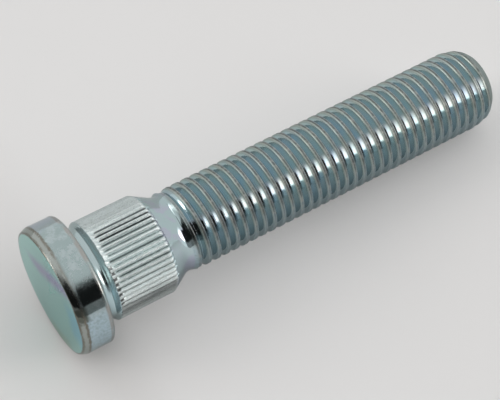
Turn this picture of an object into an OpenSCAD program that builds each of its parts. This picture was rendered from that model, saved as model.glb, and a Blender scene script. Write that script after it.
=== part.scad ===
/* [Head] */
// Diameter of the head's rim
head_d = 18.7; // [17:0.1:24]
// Thickness of the head, from its outer face to the seat on the hub flange
head_h = 4.7; // [3:0.1:8]
// Radial width of the bevel round the outer face
bevel_w = 0.35; // [0.1:0.05:1]
// Length of that bevel along the axis
bevel_h = 0.8; // [0.2:0.05:1.5]
// Radius of the rounded edge between the rim and the seat
rim_round = 0.4; // [0.1:0.05:0.8]

/* [Shank root] */
// Radius of the fillet between the seat and the shank
fillet_r = 1.2; // [0.4:0.05:1.4]
// Diameter of the relief groove under the head
root_d = 13.2; // [12.6:0.1:14.2]
// Distance from the seat to the foot of the serrations
root_l = 1.5; // [1.5:0.1:4]

/* [Serrations] */
// Diameter over the crests of the serrations
serration_d = 14.5; // [14.45:0.05:15]
// Length of the serrated stretch
serration_l = 9.4; // [6:0.1:14]
// Number of serrations
serration_count = 56; // [44:1:62]
// Depth of each groove below the crests
groove_depth = 0.38; // [0.25:0.01:0.45]
// Angle between the two flanks of a groove
groove_angle = 80; // [70:1:95]
// Length over which a groove rises to the surface at the head's end
groove_runin = 0.8; // [0.3:0.1:1.5]
// Length of the lead-in slope at the foot of the crests
crest_leadin = 0.65; // [0.2:0.05:1]
// Turn of the first groove about the axis
groove_turn = 1.4; // [-3:0.1:3]

/* [Neck] */
// Diameter at which the cone under the serrations starts
cone_d = 14.04; // [13.9:0.02:14.4]
// Angle between the cone's side and the axis
cone_angle = 30; // [20:1:40]
// Radius that blends the cone into the neck
blend_r = 2; // [0.5:0.1:4]
// Diameter of the smooth neck, which is the blank that the thread is rolled on
neck_d = 11.2; // [11:0.05:11.4]
// Length of the straight neck between the blend and the thread
neck_l = 0.3; // [0.3:0.1:6]

/* [Thread] */
// Diameter over the thread's crests, for the nominal size M12
thread_d = 11.94; // [11.8:0.01:12]
// Rise of the right-hand thread in one turn
thread_pitch = 1.5; // [1.25:0.05:1.75]
// Angle between the flanks of the thread
flank_angle = 60; // [58:1:62]
// Width of the flat crest
crest_w = 0.42; // [0.3:0.02:0.5]
// Width of the flat root
root_w = 0.22; // [0.16:0.02:0.3]
// Length of the thread, with its run-out and its tip
thread_l = 51.6; // [30:0.1:56]
// Length over which the thread fades out at the neck
runout_l = 1.8; // [0.8:0.1:3]
// Turn about the axis at which the thread starts
thread_turn = 68; // [-180:1:180]

/* [Tip] */
// Diameter of the flat end
tip_d = 8.6; // [6:0.1:10]
// Length of the cone that leads into the thread
tip_l = 2.4; // [1.5:0.1:4]

/* [Hidden] */

// Smoothness of the turned faces, of each rounded corner and of one turn of the thread
turn_facets = 120;
corner_steps = 6;
thread_facets = 36;

head_r = head_d / 2;
root_r = root_d / 2;
serration_r = serration_d / 2;
cone_r = cone_d / 2;
neck_r = neck_d / 2;
thread_r = thread_d / 2;
tip_r = tip_d / 2;

serration_z = head_h + root_l;
cone_z = serration_z + serration_l;
// Where the cone's side would meet the neck, and how far the blend reaches from there
corner_z = cone_z + (cone_r - neck_r) / tan(cone_angle);
blend_reach = blend_r * tan(cone_angle / 2);
neck_z = corner_z + blend_reach;
thread_z = neck_z + neck_l;
tip_z = thread_z + thread_l;

// How much the threaded rod is thinner than the neck, how far it reaches into the neck,
// and the width of the plain band round each of its ends
rod_step = 0.03;
rod_sunk = 0.5;
rod_band = 0.1;
rod_r = neck_r - rod_step;

flank_w = (thread_pitch - crest_w - root_w) / 2;
thread_depth = flank_w / tan(flank_angle / 2);
minor_r = thread_r - thread_depth;

// Points of an arc round the centre [r, z], from angle a0 to a1
function arc(r, z, radius, a0, a1) = [
    for (k = [0 : corner_steps])
        let (a = a0 + (a1 - a0) * k / corner_steps)
        [r + radius * cos(a), z + radius * sin(a)]
];

// Half section of the blank: head, shank under the head, serrated stretch, cone and neck
function blank_outline() = concat(
    [[0, 0], [head_r - bevel_w, 0], [head_r, bevel_h]],
    arc(head_r - rim_round, head_h - rim_round, rim_round, 0, 90),
    arc(root_r + fillet_r, head_h + fillet_r, fillet_r, 270, 180),
    [
        [root_r, serration_z],
        [serration_r, serration_z + crest_leadin],
        [serration_r, cone_z - (serration_r - cone_r) / tan(cone_angle)]
    ],
    arc(neck_r + blend_r, neck_z, blend_r, 180 + cone_angle, 180),
    [[neck_r, thread_z], [0, thread_z]]
);

// Star that leaves the teeth standing: each groove's flanks run on past the crests to a sharp point
module tooth_star() {
    bottom_r = serration_r - groove_depth;
    half_pitch = PI * serration_r / serration_count;
    point_r = bottom_r + half_pitch / tan(groove_angle / 2);
    step = 360 / serration_count;
    polygon([
        for (k = [0 : 2 * serration_count - 1])
            let (r = k % 2 == 0 ? point_r : bottom_r, a = k * step / 2)
            [r * cos(a), r * sin(a)]
    ]);
}

// What the serration rolls take away, rising to the surface at the head's end
module grooves() {
    clear = 1;
    slope = groove_depth / groove_runin;
    groove_z = serration_z + crest_leadin;
    cone_l = 2 * groove_runin;
    difference() {
        rotate([0, 0, groove_turn])
            translate([0, 0, groove_z - clear])
                linear_extrude(cone_z - groove_z + 2 * clear)
                    difference() {
                        circle(serration_r + clear, $fn = turn_facets);
                        tooth_star();
                    }
        translate([0, 0, groove_z - 2 * clear])
            cylinder(
                h = 2 * clear + cone_l,
                r1 = serration_r + 2 * clear * slope,
                r2 = serration_r - cone_l * slope,
                $fn = turn_facets
            );
    }
}

// Radius of the thread's surface at height z: full is its radius where it is fully formed
function faded(full, z) =
    let (
        share = min(max((z - thread_z) / runout_l, 0), 1),
        grown = rod_r + (full - rod_r) * share * share * (3 - 2 * share),
        cone = tip_r + (thread_r - tip_r) * (tip_z - z) / tip_l
    )
    min(grown, cone);

// Heights within one pitch of the crest's two edges and the root's two edges, with the radius of each
thread_form = [
    [0, thread_r],
    [crest_w, thread_r],
    [crest_w + flank_w, minor_r],
    [crest_w + flank_w + root_w, minor_r]
];
form_count = len(thread_form);

// The formed surface winds up from the lower band until its last turn reaches the upper one
wound_z = thread_z - rod_sunk + rod_band;
wound_steps = floor((tip_z - rod_band - thread_pitch - wound_z) / thread_pitch * thread_facets);

function on_rod(step, z, r) = [r * cos(360 * step / thread_facets), r * sin(360 * step / thread_facets), z];

function wound_point(step, j) =
    let (z = wound_z + thread_pitch * step / thread_facets + thread_form[j][0])
    on_rod(step, z, faded(thread_form[j][1], z));

// Index of point j of a step; the point after a step's last one is the first point one turn further on
function at(step, j) = j == form_count
    ? at(step + thread_facets, 0)
    : step <= wound_steps
    ? step * form_count + j
    : (wound_steps + 1) * form_count + step - wound_steps - 1;

module threaded_rod() {
    last = wound_steps;
    turn = thread_facets;
    foot_z = thread_z - rod_sunk;
    wound = [for (i = [0 : last], j = [0 : form_count - 1]) wound_point(i, j)];
    top_edge = [for (i = [last + 1 : last + turn]) wound_point(i, 0)];
    foot = [for (k = [0 : turn - 1]) on_rod(k, foot_z, rod_r)];
    end = [for (k = [0 : turn - 1]) on_rod(last + k, tip_z, tip_r)];
    foot_at = len(wound) + len(top_edge);
    end_at = foot_at + turn;
    sides = [
        for (i = [0 : last - 1], j = [0 : form_count - 1], half = [0, 1])
            half == 0
                ? [at(i, j), at(i, j + 1), at(i + 1, j + 1)]
                : [at(i, j), at(i + 1, j + 1), at(i + 1, j)]
    ];
    foot_band = [
        for (k = [0 : turn - 2], half = [0, 1])
            half == 0
                ? [foot_at + k, at(k, 0), at(k + 1, 0)]
                : [foot_at + k, at(k + 1, 0), foot_at + k + 1]
    ];
    foot_seam = concat(
        [
            [foot_at + turn - 1, at(turn - 1, 0), foot_at],
            [foot_at, at(turn - 1, 0), at(0, 0)]
        ],
        [for (j = [0 : form_count - 1]) [at(0, j), at(turn - 1, 0), at(0, j + 1)]]
    );
    end_band = [
        for (k = [1 : turn - 1], half = [0, 1])
            half == 0
                ? [at(last + k, 0), end_at + k, at(last + k + 1, 0)]
                : [at(last + k + 1, 0), end_at + k, end_at + (k + 1) % turn]
    ];
    end_seam = concat(
        [
            [end_at, end_at + 1, at(last + 1, 0)],
            [at(last + turn, 0), end_at, at(last + 1, 0)]
        ],
        [for (j = [0 : form_count - 1]) [at(last, j), at(last, j + 1), at(last + 1, 0)]]
    );
    caps = [
        [for (k = [0 : turn - 1]) foot_at + k],
        [for (k = [0 : turn - 1]) end_at + turn - 1 - k]
    ];
    polyhedron(
        points = concat(wound, top_edge, foot, end),
        faces = concat(sides, foot_band, foot_seam, end_band, end_seam, caps)
    );
}

module wheel_stud() {
    color([0.66, 0.71, 0.72]) {
        difference() {
            rotate_extrude($fn = turn_facets)
                polygon(blank_outline());
            grooves();
        }
        rotate([0, 0, thread_turn])
            threaded_rod();
    }
}

wheel_stud();
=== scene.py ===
import math

import bpy
import numpy as np
from mathutils import Matrix, Vector


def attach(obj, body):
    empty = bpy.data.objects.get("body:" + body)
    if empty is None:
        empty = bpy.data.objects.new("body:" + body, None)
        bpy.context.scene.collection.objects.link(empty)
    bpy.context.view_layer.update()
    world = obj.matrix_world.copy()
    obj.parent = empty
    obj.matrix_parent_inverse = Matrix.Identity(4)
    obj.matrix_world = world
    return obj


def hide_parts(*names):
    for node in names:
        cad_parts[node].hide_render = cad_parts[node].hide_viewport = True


mm = 0.001

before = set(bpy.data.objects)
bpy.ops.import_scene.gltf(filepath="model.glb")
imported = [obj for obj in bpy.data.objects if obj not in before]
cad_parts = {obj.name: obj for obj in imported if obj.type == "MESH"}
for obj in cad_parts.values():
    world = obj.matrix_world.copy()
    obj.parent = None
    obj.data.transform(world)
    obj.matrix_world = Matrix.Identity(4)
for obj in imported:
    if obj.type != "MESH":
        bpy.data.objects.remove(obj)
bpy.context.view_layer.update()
print("frame loaded")


class Wire:
    # An output socket of a shader node that can be used in sums
    def __init__(self, tree, socket):
        self.tree = tree
        self.socket = socket

    def calc(self, operation, *others):
        return maths(self.tree, operation, self, *others)

    def output(self, name):
        return Wire(self.tree, self.socket.node.outputs[name])

    def __add__(self, other):
        return maths(self.tree, "ADD", self, other)

    def __radd__(self, other):
        return maths(self.tree, "ADD", other, self)

    def __sub__(self, other):
        return maths(self.tree, "SUBTRACT", self, other)

    def __rsub__(self, other):
        return maths(self.tree, "SUBTRACT", other, self)

    def __mul__(self, other):
        return maths(self.tree, "MULTIPLY", self, other)

    def __rmul__(self, other):
        return maths(self.tree, "MULTIPLY", other, self)

    def __truediv__(self, other):
        return maths(self.tree, "DIVIDE", self, other)

    def __rtruediv__(self, other):
        return maths(self.tree, "DIVIDE", other, self)


def maths(tree, operation, *values):
    return addNode(tree, "ShaderNodeMath", {"operation": operation}, list(values))


def plug(tree, socket, value):
    if isinstance(value, Wire):
        tree.links.new(value.socket, socket)
    elif isinstance(value, (tuple, list)) and len(value) == 3 and socket.type == "RGBA":
        socket.default_value = (*value, 1.0)
    else:
        socket.default_value = value


def addNode(tree, kind, settings=None, inputs=None, output=0):
    node = tree.nodes.new(kind)
    for name, value in (settings or {}).items():
        if name == "stops":
            ramp = node.color_ramp
            while len(ramp.elements) < len(value):
                ramp.elements.new(1.0)
            for element, (place, colour) in zip(ramp.elements, value):
                element.position = place
                element.color = (*colour, 1.0)
        else:
            setattr(node, name, value)
    pairs = enumerate(inputs) if isinstance(inputs, list) else (inputs or {}).items()
    for name, value in pairs:
        plug(tree, node.inputs[name], value)
    return Wire(tree, node.outputs[output]) if node.outputs else None


def softStep(tree, value, low, high):
    settings = {"interpolation_type": "SMOOTHSTEP", "clamp": True}
    inputs = {"Value": value, "From Min": low, "From Max": high}
    return addNode(tree, "ShaderNodeMapRange", settings, inputs)


def dotWith(tree, vector, fixed):
    inputs = [vector, tuple(fixed)]
    return addNode(tree, "ShaderNodeVectorMath", {"operation": "DOT_PRODUCT"}, inputs, "Value")


# One stud, in millimetres; heights are measured from the head's outer face
stud = {
    "headRadius": 9.35,
    "headHeight": 4.7,
    "rimRound": 0.4,
    "seatRadius": 8.6,
    "filletRadius": 1.2,
    "rootRadius": 6.6,
    "reliefFoot": 5.95,
    "reliefHollow": 0.5,
    "serrationFoot": 6.2,
    "serrationTop": 15.6,
    "serrationRadius": 7.25,
    "serrationCount": 56,
    "grooveDepth": 0.38,
    "grooveAngle": 80.0,
    "grooveRunin": 0.8,
    "crestLeadin": 0.65,
    "grooveTurn": -1.8,
    "depthSpread": 0.14,
    "footSpread": 0.16,
    "coneRadius": 7.02,
    "coneAngle": 30.0,
    "blendRadius": 2.0,
    "neckRadius": 5.6,
    "threadFoot": 18.7,
    "threadEnd": 69.75,
    "threadRadius": 5.97,
    "pitch": 1.5,
    "crestHeight": 22.55,
    "crestDip": 0.05,
    "runout": 2.4,
    "rootFoot": 19.5,
    "rootRunout": 1.4,
    "flattenFoot": 68.7,
    "flattenLength": 1.1,
    "lipFoot": 18.6,
    "lipHeight": 19.33,
    "lipRise": 0.32,
    "lipReach": 165.0,
    "lipFade": 40.0,
    "tipHeights": [67.2, 67.8, 68.5, 69.1, 69.5, 70.0, 70.5],
    "tipRadii": [5.97, 5.84, 5.68, 5.56, 5.35, 4.9, 4.42],
    "length": 70.5,
}
frontAngle = -90.0  # the side that faces the camera

# Half section of the head's face and bevel: radius and height
bevelRows = [
    (3.0, 0.0), (6.0, 0.0), (8.0, 0.0), (8.7, 0.0), (8.88, 0.012), (8.97, 0.05), (9.03, 0.13),
    (9.09, 0.25), (9.21, 0.52), (9.27, 0.66), (9.31, 0.78), (9.335, 0.92), (9.35, 1.1),
]

# Half section of the thread round one crest: distance along the axis, depth below the crest
threadForm = [
    (-0.75, 0.828), (-0.725, 0.81), (-0.70, 0.78), (-0.66, 0.711), (-0.30, 0.087), (-0.27, 0.035),
    (-0.245, 0.01), (-0.19, 0.0), (-0.09, 0.018), (0.0, 0.03), (0.10, 0.018), (0.19, 0.0), (0.245, 0.012),
    (0.27, 0.047), (0.305, 0.113), (0.62, 0.705), (0.665, 0.79), (0.70, 0.82),
]

# Columns round the stud: two a groove on the head, one for each phase of a groove on the
# serrations, and every seventh of those from the cone to the tip
toothStep = 2 * math.pi / stud["serrationCount"]
firstAngle = math.radians(frontAngle + stud["grooveTurn"])
toothPhases = [0.0, 0.05, 0.22, 0.36, 0.41, 0.5, 0.59, 0.64, 0.78, 0.95]
headAngles = [firstAngle + toothStep * i / 2 for i in range(2 * stud["serrationCount"])]
toothAngles = [firstAngle + toothStep * (i + p) for i in range(stud["serrationCount"]) for p in toothPhases]
threadAngles = toothAngles[::7]


def arc(r, z, radius, first, last, steps):
    angles = np.radians(np.linspace(first, last, steps + 1))
    return [(r + radius * math.cos(a), z + radius * math.sin(a)) for a in angles]


def smooth(x):
    x = min(max(x, 0.0), 1.0)
    return x * x * (3 - 2 * x)


def coneRadiusAt(z):
    s = stud
    slope = math.tan(math.radians(s["coneAngle"]))
    corner = s["serrationTop"] + (s["coneRadius"] - s["neckRadius"]) / slope
    reach = s["blendRadius"] * math.tan(math.radians(s["coneAngle"] / 2))
    neckTop = corner + reach
    blendFoot = neckTop - s["blendRadius"] * math.sin(math.radians(s["coneAngle"]))
    if z < blendFoot:
        return s["coneRadius"] - (z - s["serrationTop"]) * slope
    if z < neckTop:
        drop = neckTop - z
        return s["neckRadius"] + s["blendRadius"] - math.sqrt(s["blendRadius"] ** 2 - drop ** 2)
    return s["neckRadius"]


def reliefRadiusAt(z):
    # A small hollow that turns into a slope of 45 degrees up to the serrations
    s = stud
    hollow, foot = s["reliefHollow"], s["reliefFoot"]
    slopeFoot = foot + hollow * math.sin(math.radians(45))
    if z < foot:
        return s["rootRadius"]
    if z < slopeFoot:
        return s["rootRadius"] + hollow - math.sqrt(hollow ** 2 - (z - foot) ** 2)
    return s["rootRadius"] + hollow * (1 - math.cos(math.radians(45))) + z - slopeFoot


def tipRadiusAt(z):
    return float(np.interp(z, stud["tipHeights"], stud["tipRadii"]))


class Skin:
    # Rings of points that grow into one closed surface, from the head's face to the tip
    def __init__(self):
        self.points = []
        self.faces = []
        self.last = None

    def ring(self, angles, radii, z):
        first = len(self.points)
        for a, r in zip(angles, radii):
            self.points.append((r * math.cos(a), r * math.sin(a), z))
        return list(range(first, first + len(angles)))

    def grow(self, angles, radii, z):
        # One more ring, joined to the last one; the first ring closes the head's face
        ring = self.ring(angles, radii, z)
        if self.last is None:
            self.cap(ring, z, False)
        else:
            self.band(self.last, ring)
        self.last = ring

    def growRound(self, angles, radius, z):
        self.grow(angles, [radius] * len(angles), z)

    def band(self, low, high):
        n, m = len(low), len(high)
        if n == m:
            for i in range(n):
                j = (i + 1) % n
                self.faces.append((low[i], low[j], high[j], high[i]))
        elif n > m:
            k = n // m
            for i in range(m):
                fine = [low[(i * k + q) % n] for q in range(k + 1)]
                self.fan(fine, high[i], high[(i + 1) % m])
        else:
            k = m // n
            for i in range(n):
                fine = [high[(i * k + q) % m] for q in range(k + 1)]
                self.fan(fine[::-1], low[(i + 1) % n], low[i])

    def fan(self, fine, start, end):
        half = len(fine) // 2
        for q in range(len(fine) - 1):
            self.faces.append((fine[q], fine[q + 1], start if q < half else end))
        self.faces.append((fine[half], end, start))

    def cap(self, ring, z, upward):
        self.points.append((0.0, 0.0, z))
        centre = len(self.points) - 1
        for i in range(len(ring)):
            j = (i + 1) % len(ring)
            self.faces.append((ring[i], ring[j], centre) if upward else (ring[j], ring[i], centre))


def addHead(skin):
    # From the middle of the face to the foot of the serrations
    s = stud
    rows = bevelRows + [(s["headRadius"], z) for z in (1.8, 2.6, 3.4, 4.1)]
    rows += arc(s["headRadius"] - s["rimRound"], s["headHeight"] - s["rimRound"], s["rimRound"], 0, 90, 6)
    rows += [(s["seatRadius"], s["headHeight"])]
    fillet = s["filletRadius"]
    rows += arc(s["rootRadius"] + fillet, s["headHeight"] + fillet, fillet, 270, 180, 10)
    rows += [(reliefRadiusAt(z), z) for z in (5.95, 6.05, 6.14, 6.22, 6.3)]
    for r, z in rows:
        skin.growRound(headAngles, r, z)


def addSerrations(skin):
    # Each groove has its own depth and its own foot, as rolled ones do
    s = stud
    count = s["serrationCount"]
    halfPitch = math.pi * s["serrationRadius"] / count
    flank = math.tan(math.radians(s["grooveAngle"] / 2))
    grooveFoot = s["serrationFoot"] + s["crestLeadin"]
    slope = s["grooveDepth"] / s["grooveRunin"]
    dice = np.random.RandomState(7)
    depthShare = 1 + s["depthSpread"] * dice.randn(count)
    footShift = s["footSpread"] * dice.randn(count)
    rows = [6.38, 6.5, 6.62, 6.72, 6.78, 6.82, 6.88] + list(np.arange(6.96, 8.35, 0.12))
    rows += list(np.arange(8.4, 14.9, 0.3)) + list(np.arange(14.95, 16.4, 0.11))
    for z in rows:
        crest = min(s["serrationRadius"], coneRadiusAt(z), reliefRadiusAt(z))
        radii = []
        for i in range(count):
            for p in toothPhases:
                k = i if p < 0.5 else (i + 1) % count
                rise = min(p, 1 - p) * 2 * halfPitch / flank
                bottom = s["serrationRadius"] - s["grooveDepth"] * depthShare[k] + rise
                runin = s["serrationRadius"] - slope * (z - grooveFoot - footShift[k])
                radii.append(min(crest, max(bottom, runin)))
        skin.grow(toothAngles, radii, z)


def addNeck(skin):
    for z in (16.6, 16.9, 17.2, 17.45, 17.65, 17.85, 18.05, 18.25, 18.45, 18.6):
        skin.growRound(threadAngles, coneRadiusAt(z), z)


def threadRadiusAt(z, along, depth, front):
    # Radius of a point of the thread: depth below the crest, faded at the neck and at the tip
    s = stud
    rise = smooth((z - s["threadFoot"]) / s["runout"])
    sink = smooth((z - s["rootFoot"]) / s["rootRunout"])
    flatten = smooth((z - s["flattenFoot"]) / s["flattenLength"])
    dip = s["crestDip"] * (1 - rise) if abs(along) < 0.1 else 0.0
    over = tipRadiusAt(z) - depth * (1 - flatten) - dip - s["neckRadius"]
    grown = s["neckRadius"] + (over * rise if over > 0 else over * sink)
    lip = s["lipHeight"] + s["pitch"] * front / 360
    if z < lip + 0.03:
        climb = max(z - s["lipFoot"], 0.0) / (lip - s["lipFoot"])
        climb *= smooth((s["lipReach"] - abs(front)) / s["lipFade"])
        grown = max(grown, s["neckRadius"] + s["lipRise"] * min(climb, 1.0) ** 1.4)
    return grown


def addThread(skin):
    # Rows follow the helix and are cut off at a ring below and a ring above
    s = stud
    low, high = s["threadFoot"], s["threadEnd"]
    skin.growRound(threadAngles, s["neckRadius"], low)
    lowRing = skin.last
    highRing = skin.ring(threadAngles, [tipRadiusAt(high)] * len(threadAngles), high)
    columns = len(threadAngles)
    rows = len(threadForm)
    nearRing = 0.012
    made = {}

    def pointAt(turn, column, row):
        if row == rows:
            turn, row = turn + 1, 0
        if column == columns:
            turn, column = turn + 1, 0
        along, depth = threadForm[row]
        a = threadAngles[column]
        share = (a - math.radians(frontAngle)) / (2 * math.pi)
        z = s["crestHeight"] + s["pitch"] * (turn + share) + along
        if z <= low + nearRing:
            return lowRing[column]
        if z >= high - nearRing:
            return highRing[column]
        key = (turn, column, row)
        if key not in made:
            front = (math.degrees(a) - frontAngle + 180) % 360 - 180
            r = threadRadiusAt(z, along, depth, front)
            skin.points.append((r * math.cos(a), r * math.sin(a), z))
            made[key] = len(skin.points) - 1
        return made[key]

    firstTurn = math.floor((low - s["crestHeight"]) / s["pitch"]) - 1
    lastTurn = math.ceil((high - s["crestHeight"]) / s["pitch"]) + 1
    for turn in range(firstTurn, lastTurn + 1):
        for column in range(columns):
            for row in range(rows):
                corners = [
                    pointAt(turn, column, row), pointAt(turn, column + 1, row),
                    pointAt(turn, column + 1, row + 1), pointAt(turn, column, row + 1),
                ]
                face = list(dict.fromkeys(corners))
                if len(face) > 2:
                    skin.faces.append(tuple(face))
    skin.last = highRing


def addTip(skin):
    rows = [(tipRadiusAt(z), z) for z in (70.1, 70.34)]
    rows += [(4.46, 70.42), (4.33, 70.48), (4.18, 70.5), (2.5, 70.5)]
    for r, z in rows:
        skin.growRound(threadAngles, r, z)
    skin.cap(skin.last, stud["length"], True)


def buildStud():
    skin = Skin()
    addHead(skin)
    addSerrations(skin)
    addNeck(skin)
    addThread(skin)
    addTip(skin)
    mesh = bpy.data.meshes.new("stud")
    mesh.from_pydata([(x * mm, y * mm, z * mm) for x, y, z in skin.points], [], skin.faces)
    mesh.validate()
    mesh.shade_smooth()
    mesh.set_sharp_from_angle(angle=math.radians(38))
    body = bpy.data.objects.new("stud", mesh)
    bpy.context.scene.collection.objects.link(body)
    return body


studBody = buildStud()
print("stud mesh:", len(studBody.data.polygons), "faces")


# Zinc plating with a blue passivation: the colours and roughnesses of its stretches, and the colours of
# painted light, shade and reflections on some of them
finish = {
    "rimColour": (0.34, 0.42, 0.42),
    "rimPale": (0.43, 0.50, 0.51),
    "rimLilac": (0.47, 0.53, 0.61),
    "rimPaintedFloorReflection": (0.47, 0.61, 0.70),
    "faceTeal": (0.38, 0.67, 0.63),
    "facePale": (0.47, 0.80, 0.75),
    "faceLilac": (0.42, 0.39, 0.60),
    "faceBlue": (0.22, 0.58, 0.76),
    "edgeBrown": (0.20, 0.19, 0.16),
    "bevelGrey": (0.36, 0.39, 0.37),
    "reliefTeal": (0.42, 0.51, 0.52),
    "knurlPale": (0.84, 0.93, 0.93),
    "knurlGrey": (0.36, 0.41, 0.41),
    "neckColour": (0.39, 0.49, 0.50),
    "neckLilac": (0.42, 0.44, 0.52),
    "tipGrey": (0.27, 0.32, 0.31),
    "smoothRoughness": 0.09,
    "rimRoughness": 0.08,
    "knurlRoughness": 0.30,
    "threadRoughness": 0.10,
    "crestRoughness": 0.30,
    "specularTint": (0.75, 0.78, 0.78),
    "faceDull": (0.38, 0.50, 0.36),
    "bevelPaintedDarkReflection": (0.09, 0.10, 0.08),
    "rearBrown": (0.36, 0.35, 0.33),
    "reliefPaintedLight": (0.56, 0.73, 0.78),
    "hollowPaintedShade": (0.07, 0.08, 0.08),
    "crestPaintedShade": (0.0, 0.0, 0.0),
    "notchPaintedShade": (0.03, 0.03, 0.03),
    "neckPaintedLight": (0.58, 0.72, 0.76),
    "neckViolet": (0.50, 0.52, 0.66),
    "threadCool": (0.90, 1.0, 1.04),
    "threadHaze": (0.96, 0.98, 1.05),
    "threadHighlightWarmth": (1.16, 1.0, 0.98),
    "threadShadedFloorReflection": (0.37, 0.47, 0.51),
    "nickGrey": (0.50, 0.51, 0.48),
}

# Plating over one pitch of the thread, from groove to groove with the crest at 0.5, with the crests
# darkened as painted shade
threadTintsAndCrestShade = [
    (0.0, (0.39, 0.49, 0.52)), (0.10, (0.42, 0.53, 0.55)), (0.21, (0.44, 0.56, 0.55)),
    (0.26, (0.36, 0.44, 0.42)), (0.30, (0.39, 0.44, 0.41)), (0.37, (0.36, 0.41, 0.38)),
    (0.41, (0.24, 0.27, 0.25)), (0.46, (0.12, 0.13, 0.12)), (0.53, (0.12, 0.13, 0.12)),
    (0.57, (0.18, 0.20, 0.20)), (0.62, (0.22, 0.26, 0.26)), (0.66, (0.30, 0.34, 0.34)),
    (0.72, (0.34, 0.40, 0.41)), (0.86, (0.37, 0.45, 0.47)), (1.0, (0.39, 0.49, 0.52)),
]

# Painted light and shade round the serrations, from the upper side of the stud in the photo to the lower
# side:
# place, brightness of the hollows and brightness of the crests
knurlPaintedLightTones = [(share, (hollow, crest, 0.0)) for share, hollow, crest in [
    (0.0, 0.65, 0.66), (0.17, 0.60, 0.60), (0.23, 0.65, 0.75), (0.26, 0.60, 1.0), (0.29, 0.15, 0.92),
    (0.31, 0.0, 0.95), (0.355, 0.0, 0.95), (0.39, 0.70, 0.92), (0.5, 1.0, 1.0), (0.59, 0.70, 0.92),
    (0.68, 0.75, 0.92), (0.76, 0.90, 1.0), (0.80, 0.10, 0.60), (0.84, 0.0, 0.26), (0.92, 0.30, 0.60),
]]


def blend(tree, factor, first, second, mode="MIX"):
    # Inputs 6 and 7 and output 2 are the mix node's colour sockets
    settings = {"data_type": "RGBA", "blend_type": mode}
    return addNode(tree, "ShaderNodeMix", settings, {0: factor, 6: first, 7: second}, 2)


def noiseOf(tree, vector, scale, detail=3.0, rough=0.5):
    inputs = {"Vector": vector, "Scale": scale, "Detail": detail, "Roughness": rough}
    return addNode(tree, "ShaderNodeTexNoise", None, inputs, "Fac")


def between(tree, value, low, high, soft):
    # 1 from low to high, with soft edges
    risen = softStep(tree, value, low - soft, low + soft)
    return risen * (1 - softStep(tree, value, high - soft, high + soft))


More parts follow.
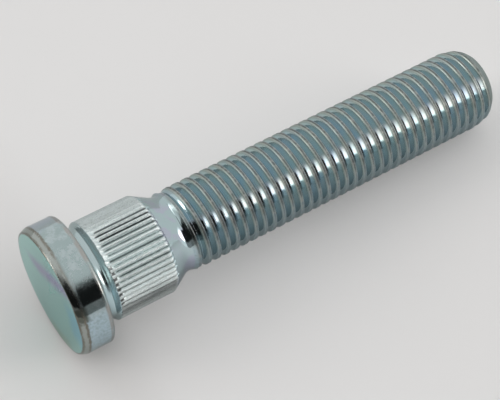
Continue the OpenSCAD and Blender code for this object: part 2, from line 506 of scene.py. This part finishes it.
def platedSteel():
    # Limits are heights above the head's face and radii in millimetres, and angles from front in degrees
    f = finish
    s = stud
    material = bpy.data.materials.new("zincPlatedSteel")
    material.use_nodes = True
    tree = material.node_tree
    tree.nodes.clear()
    place = addNode(tree, "ShaderNodeTexCoord", None, None, "Object")
    toMm = {0: place, "Scale": 1000.0}
    inMm = addNode(tree, "ShaderNodeVectorMath", {"operation": "SCALE"}, toMm, "Vector")
    x = addNode(tree, "ShaderNodeSeparateXYZ", None, {0: inMm}, "X")
    y = x.output("Y")
    z = x.output("Z")
    radius = (x * x + y * y).calc("SQRT")
    turn = y.calc("ARCTAN2", x) * math.degrees(1)
    front = turn + 90  # 0 on the side that faces the camera, -90 on its upper side in the photo

    clouds = noiseOf(tree, inMm, 0.55, 4.0, 0.55)
    specks = noiseOf(tree, inMm, 2.6, 4.0, 0.6)
    grit = noiseOf(tree, inMm, 9.0, 3.0, 0.6)
    wobble = z + (specks - 0.5) * 0.25

    # Rim
    upper = softStep(tree, clouds + (specks - 0.5) * 0.5, 0.42, 0.66)
    colour = blend(tree, upper, f["rimColour"], f["rimPale"])
    lilacSide = between(tree, front + (clouds - 0.5) * 40, -95, -62, 10)
    colour = blend(tree, lilacSide * 0.8, colour, f["rimLilac"])
    # Painted reflection of the floor: on the lower side the rim is made paler and bluer, in blotches
    floorReflectionBlotches = between(tree, front, 32, 80, 8) * softStep(tree, specks, 0.15, 0.75)
    colour = blend(tree, floorReflectionBlotches, colour, f["rimPaintedFloorReflection"])
    scuffed = between(tree, front + (clouds - 0.5) * 30, -34, 8, 7)
    scuffs = 0.12 + 0.14 * softStep(tree, clouds + (specks - 0.5) * 0.4, 0.38, 0.62)
    rough = f["rimRoughness"] + scuffed * scuffs

    # Face: teal, with a lilac streak, a blue patch and a pale side
    flat = 1 - softStep(tree, z, 0.01, 0.04)
    uneven = (clouds - 0.5) * 2.4 + (specks - 0.5) * 1.2
    teal = blend(tree, softStep(tree, uneven - x * 0.8 + y * 0.3, 0.5, 6.5), f["faceTeal"], f["facePale"])
    teal = blend(tree, softStep(tree, radius, 7.2, 8.8) * 0.7, teal, f["facePale"])
    patch = between(tree, front + uneven * 8, 22, 72, 14) * softStep(tree, radius + uneven * 0.4, 4.4, 7.0)
    teal = blend(tree, patch * 0.8, teal, f["faceBlue"])
    across = x * 0.862 + y * 0.507
    streak = between(tree, across + uneven * 0.35, -4.9, -2.9, 1.1)
    streak = streak * (1 - softStep(tree, y, -1.0, 2.5))
    teal = blend(tree, streak, teal, f["faceLilac"])
    dull = between(tree, front + uneven * 8, 112, 152, 12) * softStep(tree, radius, 6.2, 8.2)
    teal = blend(tree, dull * 0.6, teal, f["faceDull"])
    colour = blend(tree, flat, colour, teal)

    # Worn lines on the bevel's two edges and on the rear edge of the rim, and a dark reflection painted on
    # the bevel
    ring = between(tree, wobble, 0.05, 0.95, 0.1) * (1 - flat)
    colour = blend(tree, ring, colour, f["bevelGrey"])
    # Painted dark reflection: a dark band on the bevel, a little to the lower side of the front
    darkReflectionBand = between(tree, front + (specks - 0.5) * 10, 21, 36, 3)
    darkReflectionBand = darkReflectionBand * (1 - flat) * (1 - softStep(tree, z, 1.2, 1.9))
    colour = blend(tree, darkReflectionBand * 0.85, colour, f["bevelPaintedDarkReflection"])
    away = softStep(tree, front.calc("ABSOLUTE"), 18, 34)
    smudge = (specks - 0.5) * 0.5 + (clouds - 0.5) * 0.3
    lines = between(tree, radius + smudge * 0.6, 8.76, 9.06, 0.06) * (1 - softStep(tree, z, 0.25, 0.4))
    lines = lines + between(tree, z + smudge, 0.74, 1.1, 0.12)
    lines = lines * softStep(tree, grit + specks, 0.72, 0.98)
    lines = (lines * (0.35 + 0.65 * away)).calc("MINIMUM", 1.0)
    colour = blend(tree, lines, colour, f["edgeBrown"])
    rear = between(tree, z + smudge * 0.5, 4.05, 4.8, 0.12)
    rearWear = rear * softStep(tree, clouds, 0.3, 0.6)
    colour = blend(tree, rearWear * 0.85, colour, f["rearBrown"])
    shoulder = between(tree, wobble, 0.8, 1.35, 0.14)
    rough = rough + 0.14 * shoulder + 0.15 * rear

    # Groove under the head, paler on its lower side as painted light
    relief = between(tree, z, 4.72, 6.9, 0.05)
    colour = blend(tree, relief, colour, f["reliefTeal"])
    # Painted light: the lower side of the groove is made paler and bluer
    colour = blend(tree, relief * between(tree, front, 24, 66, 8) * 0.8, colour, f["reliefPaintedLight"])

    # Serrations, lit and shaded in paint round the stud
    knurl = between(tree, wobble, s["serrationFoot"] + s["crestLeadin"], 15.7, 0.08)
    streaks = addNode(tree, "ShaderNodeCombineXYZ", None, [front * 0.22, z * 0.08, 0.0])
    # Painted light and shade: a ramp round the stud sets how bright the hollows and crests are, with black
    # hollows and dark crests for shade and dark reflections and pale crests for highlights
    shade = (front + (noiseOf(tree, streaks, 1.0) - 0.5) * 8 + 90) / 180
    tone = addNode(tree, "ShaderNodeValToRGB", {"stops": knurlPaintedLightTones}, {"Fac": shade}, "Color")
    parts = addNode(tree, "ShaderNodeSeparateColor", None, {"Color": tone}, "Red")
    high = softStep(tree, radius - (1 - parts) * 0.09 + (specks - 0.5) * 0.16, 6.86, 6.97)
    hollows = blend(tree, parts, f["hollowPaintedShade"], f["knurlGrey"])
    crests = blend(tree, parts.output("Green"), f["crestPaintedShade"], f["knurlPale"])
    patchy = addNode(tree, "ShaderNodeCombineXYZ", None, [front * 0.3, z * 0.12, 7.0])
    patchy = softStep(tree, noiseOf(tree, patchy, 1.0, 4.0, 0.6), 0.34, 0.66)
    shine = 0.66 + 0.24 * patchy + 0.12 * softStep(tree, specks, 0.35, 0.7)
    knurlPaintedShading = blend(tree, high * shine, hollows, crests)
    # Painted shade: the hollows at the foot of the serrations are darkened on the lower front side
    tooth = ((front - s["grooveTurn"]) * (s["serrationCount"] / 360)).calc("FRACT")
    notch = 1 - between(tree, tooth, 0.26, 0.74, 0.1)
    notch = notch * between(tree, z + (specks - 0.5) * 0.5, 6.75, 7.45, 0.12)
    knurlPaintedShading = blend(tree, notch * between(tree, front, 2, 54, 5) * 0.9, knurlPaintedShading, f["notchPaintedShade"])
    colour = blend(tree, knurl, colour, knurlPaintedShading)

    # Neck
    neck = between(tree, wobble, 15.5, s["threadFoot"] + 0.3, 0.12)
    lilac = softStep(tree, clouds, 0.44, 0.62)
    plain = blend(tree, lilac * 0.8, f["neckColour"], f["neckLilac"])
    # Painted light: the neck is made paler and bluer a little to the lower side of the front
    plain = blend(tree, between(tree, front, 16, 52, 8) * 0.7, plain, f["neckPaintedLight"])
    violet = between(tree, front + (clouds - 0.5) * 30, 44, 88, 8) * softStep(tree, z, 16.4, 17.6)
    plain = blend(tree, violet * 0.7, plain, f["neckViolet"])
    colour = blend(tree, neck, colour, plain)

    # Thread: the plating changes over each pitch, with painted shade on the crests
    phase = ((z - s["crestHeight"]) / s["pitch"] - front / 360 + 0.5).calc("FRACT")
    tints = addNode(tree, "ShaderNodeValToRGB", {"stops": threadTintsAndCrestShade}, {"Fac": phase}, "Color")
    threaded = softStep(tree, z, s["threadFoot"] + 0.3, s["threadFoot"] + 1.2)
    tints = blend(tree, softStep(tree, clouds, 0.4, 0.65) * 0.5, tints, f["threadCool"], "MULTIPLY")
    hues = softStep(tree, noiseOf(tree, inMm, 0.3, 2.0), 0.46, 0.62)
    tints = blend(tree, hues * 0.7, tints, f["threadHaze"], "MULTIPLY")
    crest = between(tree, phase, 0.27, 0.68, 0.05)
    # Painted highlight: the grooves are warmed where the side panel's highlight falls, a little around the
    # front
    tints = blend(tree, between(tree, front, -4, 17, 5) * (1 - crest), tints, f["threadHighlightWarmth"], "MULTIPLY")
    # Painted reflection: the lower side of the thread is tinted like the shaded floor it faces
    tints = blend(tree, between(tree, front, 45, 120, 22) * 0.75, tints, f["threadShadedFloorReflection"])
    nicks = softStep(tree, noiseOf(tree, inMm, 1.7, 5.0, 0.65), 0.46, 0.62)
    nicks = nicks * between(tree, phase, 0.34, 0.70, 0.03)
    tints = blend(tree, nicks * 0.35, tints, f["nickGrey"])
    colour = blend(tree, threaded, colour, tints)
    tip = softStep(tree, wobble, 69.1, 69.5)
    colour = blend(tree, tip, colour, f["tipGrey"])

    # Roughness of each stretch
    rough = rough + (f["smoothRoughness"] - rough) * neck
    rough = rough + (f["smoothRoughness"] + 0.12 - rough) * relief
    rough = rough + (f["knurlRoughness"] + (grit - 0.5) * 0.25 - rough) * knurl
    threadRough = f["threadRoughness"] + crest * (f["crestRoughness"] - f["threadRoughness"])
    rough = rough + (threadRough + (specks - 0.5) * 0.06 - rough) * threaded
    rough = (rough + 0.25 * tip).calc("MAXIMUM", 0.05)

    # Small unevenness of the plating; the serrations are the coarsest
    dents = knurl * between(tree, front, 42, 68, 5) * between(tree, z, 11.8, 14.2, 0.5)
    bumpHeight = specks * (0.0015 + 0.03 * knurl) + grit * (0.0008 + 0.05 * knurl + 0.06 * dents)
    bump = addNode(tree, "ShaderNodeBump", None, {"Strength": 1.0, "Distance": 0.001, "Height": bumpHeight})
    shader = addNode(tree, "ShaderNodeBsdfPrincipled", None, {
        "Base Color": colour,
        "Metallic": 1.0,
        "Roughness": rough,
        "Normal": bump,
        "Specular Tint": f["specularTint"],
    })
    addNode(tree, "ShaderNodeOutputMaterial", None, {"Surface": shader})
    return material


studBody.data.materials.append(platedSteel())
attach(studBody, "root")
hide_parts("wheel_stud")
print("stud dressed")

# Camera: the stud lies across the picture, so the camera is rolled
view = {
    "distance": 205.64,  # from the stud's axis, in millimetres
    "height": -41.26,    # below the head's face
    "yaw": 0.21,
    "pitch": 19.36,
    "roll": 63.376,
    "lens": 112.95,
}


def placeCamera():
    data = bpy.data.cameras.new("camera")
    data.lens = view["lens"]
    data.sensor_width = 36.0
    data.clip_start, data.clip_end = 0.01, 10.0
    camera = bpy.data.objects.new("camera", data)
    yaw, pitch, roll = (math.radians(view[k]) for k in ("yaw", "pitch", "roll"))
    level = math.cos(pitch)
    forward = Vector((math.sin(yaw) * level, math.cos(yaw) * level, math.sin(pitch)))
    right = forward.cross(Vector((0, 0, 1))).normalized()
    up = right.cross(forward)
    turned = right * math.cos(roll) + up * math.sin(roll)
    upward = up * math.cos(roll) - right * math.sin(roll)
    rotation = Matrix((turned, upward, -forward)).transposed()
    place = Matrix.Translation((0, -view["distance"] * mm, view["height"] * mm))
    camera.matrix_world = place @ rotation.to_4x4()
    bpy.context.scene.collection.objects.link(camera)
    bpy.context.scene.camera = camera
    return camera


camera = placeCamera()

# Floor of the photo: a plane that touches the head's rim and the thread
photoPlane = {
    "bearing": 61.0,        # of the line where it touches, about the stud's axis
    "contactLength": 66.0,  # from the rim to the last crests on it
    "touchHeight": 2.5,
    "halfSize": 3.0,        # in metres
    "colour": (0.79, 0.79, 0.785),
    "fill": (0.80, 0.80, 0.80),
    "fillAtHead": 0.05,
    "fillGain": 0.22,       # from the head to the serrations
    "fillLoss": 0.03,       # along the far half of the thread
}


def photoFloor():
    p = photoPlane
    bearing = math.radians(p["bearing"])
    tilt = math.asin((stud["headRadius"] - stud["threadRadius"]) / p["contactLength"])
    toFloor = Vector((math.cos(bearing), math.sin(bearing), 0))
    normal = -(toFloor * math.cos(tilt) + Vector((0, 0, 1)) * math.sin(tilt))
    touch = toFloor * stud["headRadius"] * mm + Vector((0, 0, p["touchHeight"] * mm))
    size = p["halfSize"]
    mesh = bpy.data.meshes.new("photoFloor")
    corners = [(-size, -size, 0), (size, -size, 0), (size, size, 0), (-size, size, 0)]
    mesh.from_pydata(corners, [], [(0, 1, 2, 3)])
    floor = bpy.data.objects.new("photoFloor", mesh)
    floor.matrix_world = Matrix.Translation(touch) @ normal.to_track_quat("Z", "Y").to_matrix().to_4x4()
    bpy.context.scene.collection.objects.link(floor)
    material = bpy.data.materials.new("paleFloor")
    material.use_nodes = True
    tree = material.node_tree
    tree.nodes.clear()
    diffuse = addNode(tree, "ShaderNodeBsdfDiffuse", None, {"Color": p["colour"]})
    fill = addNode(tree, "ShaderNodeEmission", None, {"Color": p["fill"]})
    place = addNode(tree, "ShaderNodeNewGeometry", None, None, "Position")
    along = dotWith(tree, place, (0, 0, 1000))
    seen = addNode(tree, "ShaderNodeLightPath", None, None, "Is Camera Ray")
    # In the camera's view the shadow is lifted a little, by a share that changes along the stud
    share = p["fillAtHead"] + p["fillGain"] * softStep(tree, along, 3, 11)
    share = share - p["fillLoss"] * softStep(tree, along, 34, 46)
    lit = addNode(tree, "ShaderNodeMixShader", None, [share * seen, diffuse, fill])
    clear = addNode(tree, "ShaderNodeBsdfTransparent")
    facing = addNode(tree, "ShaderNodeNewGeometry", None, None, "Backfacing")
    both = addNode(tree, "ShaderNodeMixShader", None, [facing, lit, clear])
    addNode(tree, "ShaderNodeOutputMaterial", None, {"Surface": both})
    mesh.materials.append(material)
    return floor, normal


floor, floorNormal = photoFloor()


# Studio: a white tent that is open towards the camera, with a bright panel on each side of the opening.
# Angles are in degrees; bearings are measured from the camera's side, heights from the photo's floor.
studio = {
    "tent": 0.92,
    "opening": 0.015,
    "openingSide": 66.0,
    "openingLean": 0.5,
    "leanFrom": 18.0,
    "openingTop": 60.0,
    "openingArch": 0.0024,
    "openingFoot": 16.0,
    "stripe": 0.24,
    "panel": 5.8,
    "panelSide": 90.0,
    "panelFade": 106.0,
    "panelFoot": 16.0,
    "panelDimFrom": 20.0,
    "panelDimTo": 50.0,
    "shown": 0.75,
    "tentColour": (1.0, 1.0, 1.0),
    "panelColour": (1.0, 0.92, 0.88),
}


def makeStudio():
    s = studio
    up = floorNormal
    right = camera.matrix_world.to_3x3() @ Vector((1, 0, 0))
    right = (right - up * right.dot(up)).normalized()
    toCamera = right.cross(up)
    world = bpy.data.worlds.new("studio")
    bpy.context.scene.world = world
    world.use_nodes = True
    tree = world.node_tree
    tree.nodes.clear()
    ray = addNode(tree, "ShaderNodeTexCoord", None, None, "Generated")
    rise = dotWith(tree, ray, up).calc("ARCSINE") * math.degrees(1)
    bearing = dotWith(tree, ray, right).calc("ARCTAN2", dotWith(tree, ray, toCamera)) * math.degrees(1)
    side = bearing.calc("ABSOLUTE")
    edge = side - (rise - s["leanFrom"]) * s["openingLean"]
    beside = softStep(tree, edge, s["openingSide"] - 0.8, s["openingSide"] + 0.8)
    top = rise + side * side * s["openingArch"]
    above = softStep(tree, top, s["openingTop"] - 2, s["openingTop"] + 2)
    below = 1 - softStep(tree, rise, s["openingFoot"] - 1, s["openingFoot"] + 1)
    closed = beside.calc("MAXIMUM", above)
    fade = 1 - softStep(tree, side, s["panelSide"], s["panelFade"])
    span = softStep(tree, rise, s["panelFoot"] - 1, s["panelFoot"] + 1)
    span = span * (1 - softStep(tree, rise, s["panelDimFrom"], s["panelDimTo"]))
    glow = beside * fade * span
    dim = s["opening"] + (s["stripe"] - s["opening"]) * below
    level = dim + (s["tent"] - dim) * closed + (s["panel"] - s["tent"]) * glow
    seen = addNode(tree, "ShaderNodeLightPath", None, None, "Is Camera Ray")
    strength = level * (1 - seen) + s["shown"] * seen
    light = blend(tree, glow * (1 - seen), s["tentColour"], s["panelColour"])
    backdrop = addNode(tree, "ShaderNodeBackground", None, {"Color": light, "Strength": strength})
    addNode(tree, "ShaderNodeOutputWorld", None, {"Surface": backdrop})


makeStudio()
print("studio lit")

bpy.context.scene.view_settings.view_transform = "Standard"
